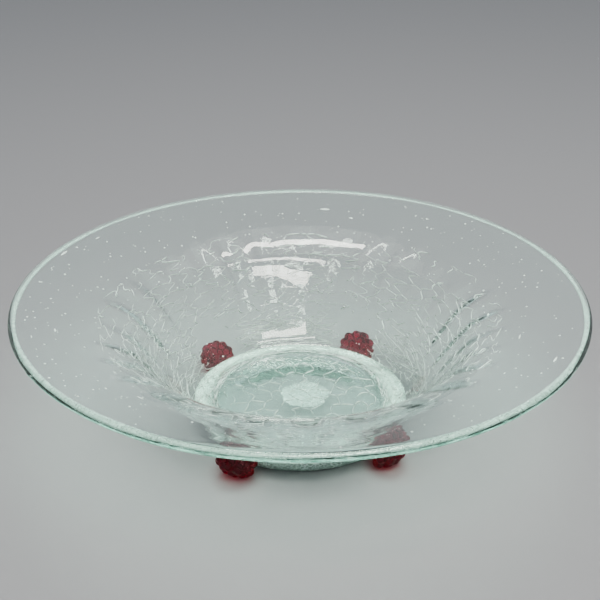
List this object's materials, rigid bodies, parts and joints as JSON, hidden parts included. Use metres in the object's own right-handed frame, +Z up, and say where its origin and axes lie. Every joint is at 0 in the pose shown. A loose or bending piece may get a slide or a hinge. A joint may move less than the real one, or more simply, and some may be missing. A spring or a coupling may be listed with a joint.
{
  "type": "footed art glass bowl",
  "caption": "Wide flared bowl of pale aqua crackle glass with a smooth rim, standing on cranberry raspberry-prunt feet; holds fruit or floating flowers.",
  "frame": {"origin": "on the table, under the middle of the bowl", "axes": "+Z up; the feet stand at 45 degrees between the axes, and the two front feet are on the -Y side"},
  "size_m": [0.35, 0.35, 0.089],
  "materials": {
    "aqua_crackle_glass": "polished, crackled in the wall and floor",
    "clear_pad_glass": "polished with a faint tool texture",
    "cranberry_glass": "polished"
  },
  "bodies": {
    "root": {"bowl_body": "aqua_crackle_glass", "base_pad": "clear_pad_glass", "pontil_scar": "clear_pad_glass", "foot_front_left": "cranberry_glass", "foot_front_right": "cranberry_glass", "foot_rear_left": "cranberry_glass", "foot_rear_right": "cranberry_glass"}
  },
  "joints": []
}
